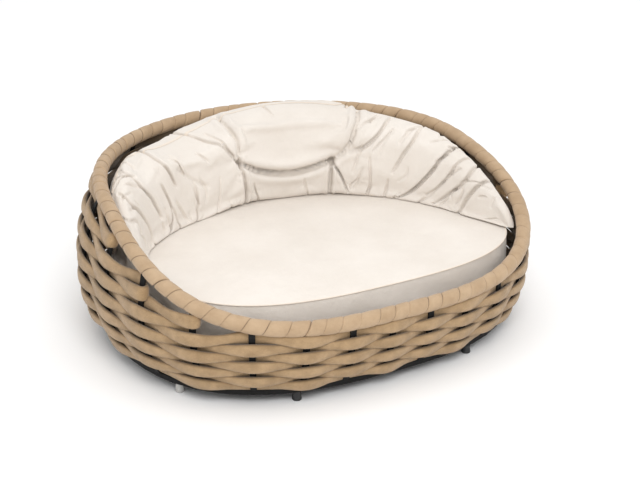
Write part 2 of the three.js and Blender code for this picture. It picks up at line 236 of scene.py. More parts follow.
def depth_fraction(y):
    return np.clip((y + HALF_DEPTH) / (2 * HALF_DEPTH), 0, 1)


def rim_height(y):
    rise = 1 - (1 - depth_fraction(y) ** RIM_RISE_START) ** RIM_RISE_END
    return FRONT_RIM_Z + (BACK_RIM_Z - FRONT_RIM_Z) * rise


def wall_point(angle, z):
    x, y = wall_outline(angle)
    return np.stack([x * taper(z) + MIDDLE_X, y * taper(z) + MIDDLE_Y, z + 0 * x], -1)


def unit(vectors):
    return vectors / np.linalg.norm(vectors, axis=-1, keepdims=True)


def wall_normal(angle):
    ahead, behind = wall_point(angle + ANGLE_STEP, BULGE_Z), wall_point(angle - ANGLE_STEP, BULGE_Z)
    along = unit(ahead - behind)
    return np.stack([along[..., 1], -along[..., 0], 0 * angle], -1)


def rim_centre(angle):
    return wall_point(angle, rim_height(wall_outline(angle)[1]))


def arc_table(curve):
    """Angles from the front's middle all the way round, and the length of curve up to each."""
    angles = np.linspace(-math.pi / 2, 1.5 * math.pi, 8001)
    points = curve(angles)
    steps = np.linalg.norm(np.diff(points, axis=0), axis=-1)
    return angles, np.concatenate([[0], np.cumsum(steps)])


OUTLINE_ANGLES, OUTLINE_LENGTHS = arc_table(lambda angle: wall_point(angle, BULGE_Z))
RIM_ANGLES, RIM_LENGTHS = arc_table(rim_centre)
WRAP_TURN = RIM_LENGTHS[-1] / round(RIM_LENGTHS[-1] / WRAP_PITCH)


def rib_angle(number):
    """Angle of rib number; fractions lie between ribs, evenly along the wall."""
    u = (number + 0.5 + RIB_SHIFT) / RIB_COUNT % 1
    share = (u - RIB_CROWDING_FRONT * np.sin(2 * math.pi * u) / (2 * math.pi)
             - RIB_CROWDING_SIDES * np.sin(4 * math.pi * u) / (4 * math.pi))
    return np.interp(share * OUTLINE_LENGTHS[-1], OUTLINE_LENGTHS, OUTLINE_ANGLES)


# ---- Meshes ----
def grid_object(name, points, uv, closed_u=False, shift=0):
    """Smooth closed mesh through a grid of points[u][v], with uv the same grid in metres, one line longer.
    The columns always close; shift joins the last to the first that many rows further on, as in a winding.
    The rows close too with closed_u, and otherwise the first and last row are capped."""
    rows, columns = points.shape[:2]
    faces, face_uv = [], []
    for i in range(rows if closed_u else rows - 1):
        for j in range(columns):
            i2, j2 = i + 1, (j + 1) % columns
            far = shift if j2 == 0 else 0
            corners = [(i, j), (i2, j), (i2 + far, j2), (i + far, j2)]
            faces.append([(a % rows) * columns + b for a, b in corners])
            face_uv += [uv[i, j], uv[i + 1, j], uv[i + 1, j + 1], uv[i, j + 1]]
    if not closed_u:
        for i, order in ((0, 1), (rows - 1, -1)):
            faces.append([i * columns + j for j in range(columns)][::order])
            face_uv += [uv[i, j] for j in range(columns)][::order]
    mesh = bpy.data.meshes.new(name)
    mesh.from_pydata(points.reshape(-1, 3).tolist(), [], faces)
    layer = mesh.uv_layers.new(name="metres")
    layer.data.foreach_set("uv", np.array(face_uv, np.float32).ravel())
    mesh.shade_smooth()
    mesh.update()
    piece = bpy.data.objects.new(name, mesh)
    bpy.context.scene.collection.objects.link(piece)
    return piece


def running_length(points, closed):
    ends = [points, points[:1]] if closed else [points]
    steps = np.linalg.norm(np.diff(np.concatenate(ends), axis=0), axis=-1)
    return np.concatenate([[0], np.cumsum(steps)])


def finish_piece(piece, body, material, slot_name, *nodes):
    piece.data.materials.clear()
    piece.data.materials.append(material)
    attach(piece, body)
    if nodes:
        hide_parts(*nodes)


# ---- Materials ----
class Nodes:
    """A material's node tree, with short calls for the nodes used here."""

    def __init__(self, name):
        self.material = bpy.data.materials.new(name)
        self.material.use_nodes = True
        self.tree = self.material.node_tree
        self.shader = self.tree.nodes["Principled BSDF"]

    def add(self, kind, inputs=None, **settings):
        node = self.tree.nodes.new(kind)
        for key, value in settings.items():
            setattr(node, key, value)
        for key, value in (inputs or {}).items():
            self.set(node.inputs[key], value)
        return node

    def set(self, socket, value):
        if isinstance(value, bpy.types.NodeSocket):
            self.tree.links.new(value, socket)
        else:
            socket.default_value = value

    def math(self, operation, a, b=0.0):
        return self.add("ShaderNodeMath", {0: a, 1: b}, operation=operation).outputs[0]

    def noise(self, vector, scale, detail=3.0, roughness=0.6):
        inputs = {"Vector": vector, "Scale": scale, "Detail": detail, "Roughness": roughness}
        return self.add("ShaderNodeTexNoise", inputs).outputs["Fac"]

    def mix(self, factor, a, b):
        node = self.add("ShaderNodeMix", data_type="RGBA")
        self.set(node.inputs["Factor"], factor)
        self.set(node.inputs["A"], a)
        self.set(node.inputs["B"], b)
        return node.outputs["Result"]

    def ramp(self, factor, low, high):
        inputs = {"Value": factor, "From Min": low, "From Max": high}
        return self.add("ShaderNodeMapRange", inputs, clamp=True).outputs["Result"]

    def place(self, kind, scale):
        coordinates = self.add("ShaderNodeTexCoord").outputs[kind]
        return self.add("ShaderNodeMapping", {"Vector": coordinates, "Scale": scale}).outputs["Vector"]

    def bump(self, height, distance, strength=1.0, normal=None):
        inputs = {"Height": height, "Distance": distance, "Strength": strength}
        node = self.add("ShaderNodeBump", inputs)
        if normal is not None:
            self.set(node.inputs["Normal"], normal)
        return node.outputs["Normal"]


def colour(red, green, blue):
    return (red, green, blue, 1.0)


def threads(nodes, pitch, slant):
    """Height of a plain weave of round threads, laid on the UVs in metres and turned by slant."""
    uv = nodes.add("ShaderNodeTexCoord").outputs["UV"]
    turned = nodes.add("ShaderNodeVectorRotate", {"Vector": uv, "Angle": slant}, rotation_type="Z_AXIS")
    parts = nodes.add("ShaderNodeSeparateXYZ", {"Vector": turned.outputs["Vector"]})
    across = nodes.math("SINE", nodes.math("MULTIPLY", parts.outputs["X"], math.pi / pitch))
    along = nodes.math("SINE", nodes.math("MULTIPLY", parts.outputs["Y"], math.pi / pitch))
    over = nodes.math("MULTIPLY", across, along)
    return nodes.math("ADD", nodes.math("MULTIPLY", over, 0.5), 0.5)


def fabric(name, light, dark, pitch, slant, heather, thread_depth, sheen, patch, crumple=0.0, girth=None,
           turn_length=None):
    """Woven cloth: thread bump, heathered yarn colour, painted shade between the threads, soft large-scale
    fading and a little sheen.
    girth: round a strand this far round, which gets painted shade, darker down in the weave, away from its
    outer face.
    turn_length: wound in turns this long, with a painted shadow line along each seam."""
    nodes = Nodes(name)
    weave = threads(nodes, pitch, slant)
    where = nodes.place("Object", (1, 1, 1))
    yarn = nodes.noise(nodes.place("UV", (1, 3, 1)), 420.0, 2.0)
    cloudy = nodes.noise(where, patch, 4.0)
    middle = 0.5 + 0.5 * heather
    mottle = nodes.math("ADD", nodes.math("MULTIPLY", yarn, heather), cloudy)
    tint = nodes.ramp(mottle, middle - 0.2, middle + 0.2)
    shaded = nodes.mix(tint, dark, light)
    # Painted shade: the colour goes darker down between the threads, where the weave lies low.
    deep = nodes.mix(nodes.math("MULTIPLY", nodes.math("SUBTRACT", 1.0, weave), 0.35), shaded, dark)
    uv = nodes.add("ShaderNodeSeparateXYZ", {"Vector": nodes.add("ShaderNodeTexCoord").outputs["UV"]})
    # Dark colour for the painted shade on the strands and the painted shadow in the strap's seams.
    painted_shade_colour = colour(*(0.4 * c for c in dark[:3]))
    # Painted shade: a strand's colour darkens towards its edges and back, away from its outer face, where the
    # weave shades it.
    if girth:
        facing = nodes.math("COSINE", nodes.math("MULTIPLY", uv.outputs["Y"], 2 * math.pi / girth))
        deep = nodes.mix(nodes.ramp(facing, -0.30, 0.70), painted_shade_colour, deep)
    # Painted shadow: a dark line in the groove along each seam between turns, stronger at some seams than at
    # others.
    if turn_length:
        turned = nodes.math("FRACT", nodes.math("DIVIDE", uv.outputs["Y"], turn_length))
        from_middle = nodes.math("ABSOLUTE", nodes.math("SUBTRACT", turned, 0.5))
        shadow = nodes.math("MULTIPLY", nodes.ramp(from_middle, 0.465, 0.495),
                            nodes.ramp(nodes.noise(where, 16.0, 1.0), 0.38, 0.66))
        deep = nodes.mix(shadow, deep, painted_shade_colour)
    nodes.set(nodes.shader.inputs["Base Color"], deep)
    nodes.set(nodes.shader.inputs["Roughness"], nodes.ramp(yarn, -1.2, 1.3))
    nodes.shader.inputs["Sheen Weight"].default_value = sheen
    nodes.shader.inputs["Sheen Roughness"].default_value = 0.5
    nodes.shader.inputs["Specular IOR Level"].default_value = 0.25
    fuzz = nodes.bump(nodes.noise(where, 900.0, 2.0), 0.0003, 0.5)
    creased = nodes.bump(nodes.noise(where, 22.0, 4.0), crumple, 0.8, fuzz) if crumple else fuzz
    nodes.set(nodes.shader.inputs["Normal"], nodes.bump(weave, thread_depth, 0.7, creased))
    return nodes.material


def powder_coat():
    nodes = Nodes("powder_coat")
    where = nodes.place("Object", (1, 1, 1))
    nodes.set(nodes.shader.inputs["Base Color"],
              nodes.mix(nodes.noise(where, 30.0), colour(0.004, 0.004, 0.0045), colour(0.010, 0.0095, 0.009)))
    nodes.set(nodes.shader.inputs["Roughness"], nodes.ramp(nodes.noise(where, 60.0), -1.0, 1.2))
    nodes.set(nodes.shader.inputs["Normal"], nodes.bump(nodes.noise(where, 1400.0, 2.0), 0.00015, 0.6))
    nodes.shader.inputs["Specular IOR Level"].default_value = 0.25
    return nodes.material


def stained_wood():
    nodes = Nodes("stained_wood")
    grain = nodes.noise(nodes.place("Object", (60, 3, 60)), 1.0, 6.0)
    nodes.set(nodes.shader.inputs["Base Color"],
              nodes.mix(grain, colour(0.035, 0.027, 0.022), colour(0.10, 0.078, 0.06)))
    nodes.shader.inputs["Roughness"].default_value = 0.7
    nodes.set(nodes.shader.inputs["Normal"], nodes.bump(grain, 0.0006, 0.5))
    return nodes.material


def moulded_plastic(name, base, roughness, transmission=0.0):
    nodes = Nodes(name)
    where = nodes.place("Object", (1, 1, 1))
    worn = nodes.mix(nodes.noise(where, 120.0), base, colour(*(min(1.0, c * 1.25 + 0.01) for c in base[:3])))
    nodes.set(nodes.shader.inputs["Base Color"], worn)
    nodes.shader.inputs["Roughness"].default_value = roughness
    nodes.shader.inputs["Transmission Weight"].default_value = transmission
    nodes.set(nodes.shader.inputs["Normal"], nodes.bump(nodes.noise(where, 700.0), 0.0001, 0.5))
    return nodes.material


POWDER_COAT = powder_coat()
# The strands get painted shade away from their outer faces.
STRAND_FABRIC = fabric("strand_webbing", colour(0.50, 0.337, 0.185), colour(0.31, 0.20, 0.10),
                       pitch=0.0011, slant=0.6, heather=0.8, thread_depth=0.0007, sheen=0.25, patch=34.0,
                       girth=STRAND_GIRTH)
# The strap gets a painted shadow line along each seam between its turns.
STRAP_FABRIC = fabric("rim_strap", colour(0.52, 0.375, 0.24), colour(0.40, 0.275, 0.165),
                      pitch=0.0008, slant=0.0, heather=0.4, thread_depth=0.00025, sheen=0.15, patch=30.0,
                      turn_length=WRAP_TURN)
CANVAS = fabric("cream_canvas", colour(0.79, 0.735, 0.675), colour(0.71, 0.65, 0.585),
                pitch=0.0007, slant=0.0, heather=0.12, thread_depth=0.0002, sheen=0.2, patch=7.0,
                crumple=0.0035)
PIPING = fabric("piping", colour(0.80, 0.72, 0.63), colour(0.75, 0.65, 0.55),
                pitch=0.0006, slant=0.785, heather=0.1, thread_depth=0.0002, sheen=0.2, patch=7.0)


# ---- Frame pieces that the CAD model already shapes ----
def paint_frame():
    for name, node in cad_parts.items():
        if name.startswith(("rib_", "cross_bar_")) or name in ("rim_tube", "base_ring"):
            node.data.materials.clear()
            node.data.materials.append(POWDER_COAT)
    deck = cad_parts["deck_board"]
    deck.data.materials.clear()
    deck.data.materials.append(stained_wood())


# ---- Woven rows ----
def row_pitch(number):
    depth = depth_fraction(wall_outline(rib_angle(number))[1])
    return ROW_PITCH_FRONT + (ROW_PITCH_BACK - ROW_PITCH_FRONT) * depth


def row_ribs(row):
    """Numbers of the first and last rib that a row passes and its height at each, read off its CAD strand."""
    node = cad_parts[f"strand_row_{row + 1:02d}"]
    corners = np.array([node.matrix_world @ vertex.co for vertex in node.data.vertices])
    places = wall_point(rib_angle(np.arange(RIB_COUNT))[:, None], corners[None, :, 2])
    near = np.linalg.norm(places[..., :2] - corners[None, :, :2], axis=-1) < RIB_REACH
    passed = np.flatnonzero(near.any(1))
    heights = [corners[near[number], 2].mean() for number in passed]
    return int(passed[0]), int(passed[-1]), np.array(heights)


def row_path(number, height, out):
    angle = rib_angle(number)
    return wall_point(angle, height) + wall_normal(angle) * out[:, None]


def between_ribs(heights, where, closed):
    """Smooth heights between ribs, where counts ribs from the first height."""
    i = np.floor(where).astype(int)
    t = where - i
    index = [i + k for k in (-1, 0, 1, 2)]
    count = len(heights)
    a, b, c, d = (heights[k % count] if closed else heights[np.clip(k, 0, count - 1)] for k in index)
    return b + 0.5 * t * (c - a + t * (2 * a - 5 * b + 4 * c - d + t * (3 * (b - c) + d - a)))


def strand_curl(height, rib, direction):
    """Turn of a strand's end round the edge of its last rib and in behind it."""
    turn = np.linspace(0, 1, 14)[1:]
    angle = rib_angle(rib)
    normal = wall_normal(angle)
    along = np.array([-normal[1], normal[0], 0]) * direction
    start = wall_point(angle, height)
    reach = CURL_REACH * np.sin(math.pi * turn) - CURL_RETURN * turn
    out = STRAND_SWING * np.cos(math.pi * turn)
    return start + along * reach[:, None] + normal * out[:, None]


def make_row(row, random):
    first, last, heights = row_ribs(row)
    closed = last - first == RIB_COUNT - 1
    if closed:
        last = RIB_COUNT
    count = (last - first) * STRAND_SAMPLES + (0 if closed else 1)
    number = first + np.arange(count) / STRAND_SAMPLES
    sign = -1 if row % 2 == 0 else 1
    out = STRAND_SWING * sign * np.cos(math.pi * number)
    path = row_path(number, between_ribs(heights, number - first, closed), out)
    pitch = row_pitch(number)
    at_rib = np.cos(math.pi * number) ** 2
    if not closed:
        front_end = sign * math.cos(math.pi * first) > 0
        head = strand_curl(heights[0], first, -1)[::-1] if front_end else path[:0]
        back_end = sign * math.cos(math.pi * last) > 0
        tail = strand_curl(heights[-1], last, 1) if back_end else path[:0]
        path = np.concatenate([head, path, tail])
        at_rib = np.concatenate([np.ones(len(head)), at_rib, np.ones(len(tail))])
        pitch = np.concatenate([np.full(len(head), pitch[0]), pitch, np.full(len(tail), pitch[-1])])
    wander = np.cumsum(random.normal(0, 1, len(path)))
    wander -= np.linspace(0, wander[-1], len(path))
    path[:, 2] += STRAND_WANDER * wander / max(1.0, np.abs(wander).max())
    if closed:
        along = unit(np.roll(path, -1, axis=0) - np.roll(path, 1, axis=0))
    else:
        along = unit(np.gradient(path, axis=0))
    angle = np.arctan2((path[:, 1] - MIDDLE_Y) / HALF_DEPTH, (path[:, 0] - MIDDLE_X) / HALF_WIDTH)
    up = unit(wall_point(angle, path[:, 2] + 0.002) - wall_point(angle, path[:, 2] - 0.002))
    up[:, :2] *= STRAND_LEAN
    outward = unit(np.cross(along, up))
    up = unit(np.cross(outward, along))
    widest = np.minimum(STRAND_HALF_LIMIT, STRAND_HALF_AT_RIB * pitch)
    half = STRAND_HALF_CROSSING * pitch
    half += (widest - half) * at_rib ** 0.8
    half *= 1 + STRAND_WIDTH_SPREAD * random.standard_normal()
    thick = STRAND_THICKNESS * (1 - STRAND_THINNING + STRAND_THINNING * at_rib) / 2
    turn = np.linspace(0, 2 * math.pi, STRAND_SIDES, endpoint=False)
    rise = signed_power(np.sin(turn), STRAND_EDGE_POWER)
    bulge = signed_power(np.cos(turn), STRAND_FACE_POWER)
    points = (path[:, None] + up[:, None] * (half[:, None] * rise)[..., None]
              + outward[:, None] * (thick[:, None] * bulge)[..., None])
    length = running_length(path, closed)
    if not closed:
        length = np.append(length, length[-1])
    uv = np.stack(np.meshgrid(length, np.linspace(0, STRAND_GIRTH, STRAND_SIDES + 1), indexing="ij"), -1)
    piece = grid_object(f"webbing_row_{row + 1:02d}", points, uv, closed_u=closed)
    finish_piece(piece, "basket", STRAND_FABRIC, "woven_strand", f"strand_row_{row + 1:02d}")


# ---- Wrapped rim ----
def make_wrap(random):
    """A strap wound round the rim tube: the mesh lines run along the winding, so each seam is one line."""
    total = RIM_LENGTHS[-1]
    turns = round(total / WRAP_PITCH)
    steps = len(WRAP_STEPS)
    phase = (np.arange(turns)[:, None] + np.array(WRAP_STEPS)[None, :]).ravel()
    column = np.arange(WRAP_SIDES) / WRAP_SIDES
    wobble = np.interp(phase, np.arange(turns), WRAP_WOBBLE * random.uniform(-1, 1, turns), period=turns)
    place = ((phase + wobble)[:, None] + column[None, :]) * total / turns
    angle = np.interp(place % total, RIM_LENGTHS, RIM_ANGLES)
    centre = rim_centre(angle)
    along = unit(rim_centre(angle + ANGLE_STEP) - rim_centre(angle - ANGLE_STEP))
    down = wall_point(angle, centre[..., 2] - 0.001) - wall_point(angle, centre[..., 2] + 0.001)
    down = unit(down - along * np.sum(down * along, -1, keepdims=True))
    across = np.cross(down, along)
    within = phase % 1
    groove = np.minimum(within, 1 - within) * WRAP_PITCH
    openness = np.repeat(random.choice(SEAM_KINDS, turns, p=SEAM_KIND_SHARES), steps)
    next_turn = np.concatenate([openness[steps:], openness[:steps]])
    openness = np.where(within < 0.5, openness, next_turn)
    radius = WRAP_RADIUS - SEAM_DEPTH * openness * np.exp(-groove / SEAM_HALF_OPENING)
    radius += TURN_SWELL * np.sin(math.pi * within) + TURN_LEAN * (within - 0.5)
    turn = 2 * math.pi * column
    points = centre + radius[:, None, None] * (
        down * np.cos(turn)[None, :, None] + across * np.sin(turn)[None, :, None])
    length = np.append(phase, turns) * total / turns
    uv = np.stack(np.meshgrid(length, np.linspace(0, 2 * math.pi * WRAP_RADIUS, WRAP_SIDES + 1),
                              indexing="ij"), -1)[..., ::-1]
    piece = grid_object("rim_strap_winding", points, uv, closed_u=True, shift=steps)
    finish_piece(piece, "basket", STRAP_FABRIC, "rim_strap", "rim_wrap")


# ---- Feet ----
FOOT_SIDES = 40
# Radius and height as shares of the foot's, floor to top.
FOOT_PROFILE = [(0.80, 0.0), (0.95, 0.03), (1.0, 0.10), (1.0, 0.20), (0.93, 0.24), (0.90, 0.30), (0.88, 0.94),
                (0.84, 1.0)]


def make_feet():
    black = moulded_plastic("black_plastic", colour(0.016, 0.016, 0.017), 0.45)
    pale = moulded_plastic("pale_plastic", colour(0.78, 0.77, 0.74), 0.2, 0.5)
    for name in sorted(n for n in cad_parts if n.startswith("foot_")):
        low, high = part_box(name)
        middle = [(low[k] + high[k]) / 2 for k in range(2)]
        radius = (high[0] - low[0]) / 2
        height = high[2] - low[2]
        turn = np.linspace(0, 2 * math.pi, FOOT_SIDES, endpoint=False)
        points = np.array([[(middle[0] + radius * r * math.cos(a), middle[1] + radius * r * math.sin(a),
                             low[2] + height * z) for a in turn] for r, z in FOOT_PROFILE])
        uv = np.zeros((len(points) + 1, FOOT_SIDES + 1, 2))
        piece = grid_object(name.replace("foot", "round_foot"), points[:, ::-1], uv)
        pale_one = "side" in name
        finish_piece(piece, "basket", pale if pale_one else black,
                     "clear_plastic" if pale_one else "foot_plastic", name)


# ---- Seat cushion ----
def cushion_ring(angle, inset, z):
    """Outline of the seat cushion, as in the CAD model: the rim's plan moved in along its normal."""
    along = rim_centre(angle + ANGLE_STEP) - rim_centre(angle - ANGLE_STEP)
    along[:, 2] = 0
    along = unit(along)
    outward = np.stack([along[:, 1], -along[:, 0], 0 * angle], -1)
    frontness = np.maximum(0, -np.sin(angle)) ** 2
    reach = CUSHION_INSET + CUSHION_FRONT_EXTRA * frontness + inset
    ring = rim_centre(angle) - outward * reach[:, None] + [CUSHION_X, 0, 0]
    ring[:, 2] = z
    return ring


def make_seat():
    low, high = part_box("seat_cushion")
    place = np.linspace(0, RIM_LENGTHS[-1], CUSHION_COLUMNS, endpoint=False)
    angle = np.interp(place, RIM_LENGTHS, RIM_ANGLES)
    bottom, top = low[2] + COVER_BOTTOM_GAP, high[2] - COVER_TOP_GAP
    middle = np.array([(low[0] + high[0]) / 2, (low[1] + high[1]) / 2, 0])

    def disc(z, crown, shares):
        edge = cushion_ring(angle, COVER_EDGE_INSET, z)
        rings = []
        for share in shares:
            ring = middle + (edge - middle) * [share, share, 1]
            ring[:, 2] = z + crown * (1 - share ** 4)
            rings.append(ring)
        return rings

    shares = np.concatenate([[1, 0.998, 0.993], np.linspace(0.985, 0, 44)[:-1] ** 0.9])
    side = np.concatenate([[0, 0.012, 0.03], np.linspace(0.06, 0.94, 20), [0.97, 0.988, 1]])
    rings = disc(bottom, BOTTOM_CROWN, shares[::-1])
    for share in side:
        waves = np.sin(angle * 17 + 9 * share) * np.sin(angle * 5) ** 2
        soft = SIDE_SOFTNESS * waves * np.sin(math.pi * share)
        pull = EDGE_PULL * (2 * share - 1) ** 6 + SIDE_PULL * (2 * share - 1) ** 2 + soft
        rings.append(cushion_ring(angle, pull, bottom + (top - bottom) * share))
    rings += disc(top, TOP_CROWN, shares)
    points = np.array(rings)
    uv = np.zeros((len(rings) + 1, CUSHION_COLUMNS + 1, 2))
    uv[:-1, :-1] = points[..., :2]
    uv[:-1, -1] = points[:, 0, :2]
    arc = running_length(cushion_ring(angle, 0, 0), True)
    for k, share in enumerate(side):
        uv[len(shares) + k, :, 0] = arc
        uv[len(shares) + k, :, 1] = share * (top - bottom)
    piece = grid_object("seat_cushion_cover", points, uv)
    finish_piece(piece, "seat_cushion", CANVAS, "cream_fabric", "seat_cushion")
    for name, z in (("seat_piping_top", top), ("seat_piping_bottom", bottom)):
        make_piping(name, cushion_ring(angle, PIPING_INSET, z))


def make_piping(name, path):
    """Thin corded edge of the seat cushion, along a closed path."""
    along = unit(np.roll(path, -1, axis=0) - np.roll(path, 1, axis=0))
    outward = np.cross(along, [0, 0, 1])
    turn = np.linspace(0, 2 * math.pi, 10, endpoint=False)
    points = (path[:, None] + PIPING_RADIUS * (outward[:, None] * np.cos(turn)[None, :, None]
              + np.array([0, 0, 1.0]) * np.sin(turn)[None, :, None]))
    length = running_length(path, True)
    uv = np.stack(np.meshgrid(length, np.linspace(0, 2 * math.pi * PIPING_RADIUS, 11), indexing="ij"), -1)
    piece = grid_object(name, points[:, ::-1], uv, closed_u=True)
    finish_piece(piece, "seat_cushion", PIPING, "cream_fabric")


# ---- Bolster ----
def smooth_curve(points, count, closed=False):
    """Smooth curve through points, sampled at count even steps of the points' numbering."""
    points = np.array(points, float)
    if closed:
        padded = np.concatenate([points[-1:], points, points[:2]])
    else:
        before, after = 2 * points[:1] - points[1:2], 2 * points[-1:] - points[-2:-1]
        padded = np.concatenate([before, points, after])
    spans = len(padded) - 3
    where = np.linspace(0, spans, count, endpoint=not closed)
    index = np.minimum(where.astype(int), spans - 1)
    t = (where - index)[:, None]
    a, b, c, d = (padded[index + k] for k in range(4))
    square, cube = 2 * a - 5 * b + 4 * c - d, 3 * b - a - 3 * c + d
    return 0.5 * (2 * b + (c - a) * t + square * t ** 2 + cube * t ** 3)


def bolster_sections():
    """The sections at even steps along the crescent, and its length."""
    fine = smooth_curve(BOLSTER_SECTIONS, 4001)
    length = np.concatenate([[0], np.cumsum(np.linalg.norm(np.diff(fine[:, :2], axis=0), axis=-1))])
    steps = np.linspace(0, length[-1], BOLSTER_ROWS)
    return np.stack([np.interp(steps, length, column) for column in fine.T], -1), length[-1]


def bolster_shell(middle, widths, heights, floor_z):
    """Grid of points round a section swept along the middle line, with rounded ends."""
    outline = smooth_curve(BOLSTER_OUTLINE, BOLSTER_COLUMNS, closed=True)
    outline[:, 1] = np.maximum(outline[:, 1], 0)
    along = unit(np.gradient(middle, axis=0))
    outward = np.stack([along[:, 1], -along[:, 0]], -1)
    share = np.linspace(0, 1, BOLSTER_ROWS)
    from_end = np.minimum(share, 1 - share) / BOLSTER_END_SHARE
    swell = np.maximum(BOLSTER_TIP, np.sqrt(1 - np.clip(1 - from_end, 0, 1) ** 2))
    reach = outline[None, :, 0] * (widths * swell / 2)[:, None]
    lift = outline[None, :, 1] * (heights * swell)[:, None]
    flat = middle[:, None] + outward[:, None] * reach[..., None]
    return np.concatenate([flat, (floor_z + lift)[..., None]], -1)


def bolster_shares(rows, columns):
    return np.meshgrid(np.linspace(0, 1, rows), np.arange(columns) / columns, indexing="ij")


def crease(along, around, length, fold, narrow=1.0, deep=1.0, lift=0.4):
    """Depth of one crease over the cover: a groove along a line of points, with a soft lip each side."""
    points, depth, width = fold
    width = width * narrow
    line = smooth_curve([(u * length, v * BOLSTER_GIRTH, 0) for u, v in points], 8 * len(points))[:, :2]
    here = np.stack([along * length, around * BOLSTER_GIRTH], -1)
    nearest = np.full(along.shape, 1e3)
    place = np.zeros(along.shape)
    for k in range(len(line) - 1):
        step = line[k + 1] - line[k]
        t = np.clip(((here - line[k]) @ step) / (step @ step), 0, 1)
        gap = np.linalg.norm(here - line[k] - t[..., None] * step, axis=-1)
        closer = gap < nearest
        nearest = np.where(closer, gap, nearest)
        place = np.where(closer, (k + t) / (len(line) - 1), place)
    fade = np.sin(math.pi * (0.10 + 0.80 * place)) ** 0.6
    groove = np.exp(-(nearest / width) ** 1.4)
    lip = lift * np.exp(-((nearest - LIP_PLACE * width) / (LIP_WIDTH * width)) ** 2)
    return deep * depth * fade * (groove - lip)


def wall_side_folds(random, count):
    """Small creases across the cover, over its top and down its wall side."""
    folds = []
    for _ in range(count):
        along, around = random.uniform(0.08, 0.92), random.uniform(0.42, 0.95)
        lean, reach = random.normal(0, 0.012), random.uniform(0.05, 0.12)
        depth, width = random.uniform(0.002, 0.006), random.uniform(0.004, 0.008)
        folds.append(([(along - lean, around - reach), (along, around), (along + lean, around + reach)],
                      depth, width))
    return folds


def gathers(random, count):
    """Short fine creases on the nest side, leaning outwards along each wing."""
    folds = []
    for _ in range(count):
        wing = random.random() < 0.5
        along = random.uniform(0.04, 0.34) if wing else random.uniform(0.62, 0.96)
        slope = random.normal(-0.20, 0.06) if wing else random.normal(0.10, 0.08)
        foot = random.choice([0.03, 0.12, 0.24, 0.34]) + random.uniform(-0.02, 0.04)
        reach = random.uniform(0.05, 0.12)
        bow = random.normal(0, 0.003)
        folds.append(([(along, foot), (along + slope * reach / 2 + bow, foot + reach / 2),
                       (along + slope * reach, foot + reach)],
                      random.uniform(0.0015, 0.004), random.uniform(0.004, 0.007)))
    return folds


def tuft_gap(along, around, length, tuft):
    return np.hypot((along - tuft[0]) * length, (around - tuft[1]) * BOLSTER_GIRTH)


def tuft_dent(along, around, length, tuft):
    return TUFT_DEPTH * np.exp(-(tuft_gap(along, around, length, tuft) / TUFT_RADIUS) ** 1.3)


def grid_normals(points):
    down = np.gradient(points, axis=0)
    across = np.roll(points, -1, axis=1) - np.roll(points, 1, axis=1)
    normal = np.cross(across, down)
    return normal / np.maximum(np.linalg.norm(normal, axis=-1, keepdims=True), 1e-12)


def finer(points):
    """The grid with a point added halfway between each pair, on the cubic through its neighbours."""
    padded = np.concatenate([points[:1], points, points[-1:]])
    between = (9 * (padded[1:-2] + padded[2:-1]) - padded[:-3] - padded[3:]) / 16
    rows = np.empty((2 * len(points) - 1,) + points.shape[1:])
    rows[::2], rows[1::2] = points, between
    before, after, far = (np.roll(rows, shift, axis=1) for shift in (1, -1, -2))
    columns = np.empty((len(rows), 2 * points.shape[1], 3))
    columns[:, ::2] = rows
    columns[:, 1::2] = (9 * (rows + after) - before - far) / 16
    return columns


def blow_up(piece, cut_points, held, frames, cap):
    """Fill a cover by cloth simulation from its cut size, with the held points still, and give its points."""
    mesh = piece.data
    before = np.empty(len(mesh.vertices) * 3)
    mesh.vertices.foreach_get("co", before)
    before = before.reshape(-1, 3)
    piece.shape_key_add(name="Basis")
    cut = piece.shape_key_add(name="cut")
    cut.data.foreach_set("co", cut_points.ravel())
    group = piece.vertex_groups.new(name="held")
    group.add(np.flatnonzero(held.ravel()).tolist(), 1.0, "REPLACE")
    modifier = piece.modifiers.new("filling", "CLOTH")
    cloth = modifier.settings
    cloth.rest_shape_key = cut
    cloth.vertex_group_mass = "held"
    cloth.quality = 6
    cloth.mass = 0.25
    cloth.tension_stiffness = 12
    cloth.compression_stiffness = 8
    cloth.shear_stiffness = 5
    cloth.bending_stiffness = 4
    cloth.tension_damping = cloth.compression_damping = cloth.shear_damping = 8
    cloth.use_pressure = True
    cloth.uniform_pressure_force = 6
    cloth.effector_weights.gravity = 0
    modifier.point_cache.frame_start = 1
    modifier.point_cache.frame_end = frames
    scene = bpy.context.scene
    for number in range(1, frames + 1):
        scene.frame_set(number)
    filled = piece.evaluated_get(bpy.context.evaluated_depsgraph_get()).to_mesh()
    after = np.empty(len(mesh.vertices) * 3)
    filled.vertices.foreach_get("co", after)
    after = after.reshape(-1, 3)
    piece.modifiers.remove(modifier)
    piece.shape_key_clear()
    piece.vertex_groups.clear()
    scene.frame_set(1)
    move = after - before
    size = np.maximum(np.linalg.norm(move, axis=-1, keepdims=True), 1e-9)
    return before + move / size * cap * np.tanh(size / cap)


def swelling(along, around, place):
    """A smooth rounded push outwards."""
    (middle_along, middle_around), (half_along, half_around), flatness, height = place
    return (height * np.exp(-((along - middle_along) / half_along) ** flatness)
            * np.exp(-((around - middle_around) / half_around) ** 2))


def fade_at_ends(along):
    return np.minimum(1, END_RELIEF + np.minimum(along, 1 - along) / END_FADE)


def broad_relief(along, around, length, folds):
    """Lobes, tufts and folds as they are before the cover is filled, as a push outwards."""
    push = swelling(along, around, LOBE) + swelling(along, around, BELLY)
    for fold in folds:
        push -= crease(along, around, length, fold, narrow=0.9, deep=0.75, lift=0.25)
    for fold in DEEP_FOLDS:
        push -= crease(along, around, length, fold, narrow=0.8)
    push -= crease(along, around, length, LOBE_CREASE, narrow=0.8, lift=0.05)
    for tuft in (TUFT_LEFT, TUFT_RIGHT):
        push -= tuft_dent(along, around, length, tuft)
    return push


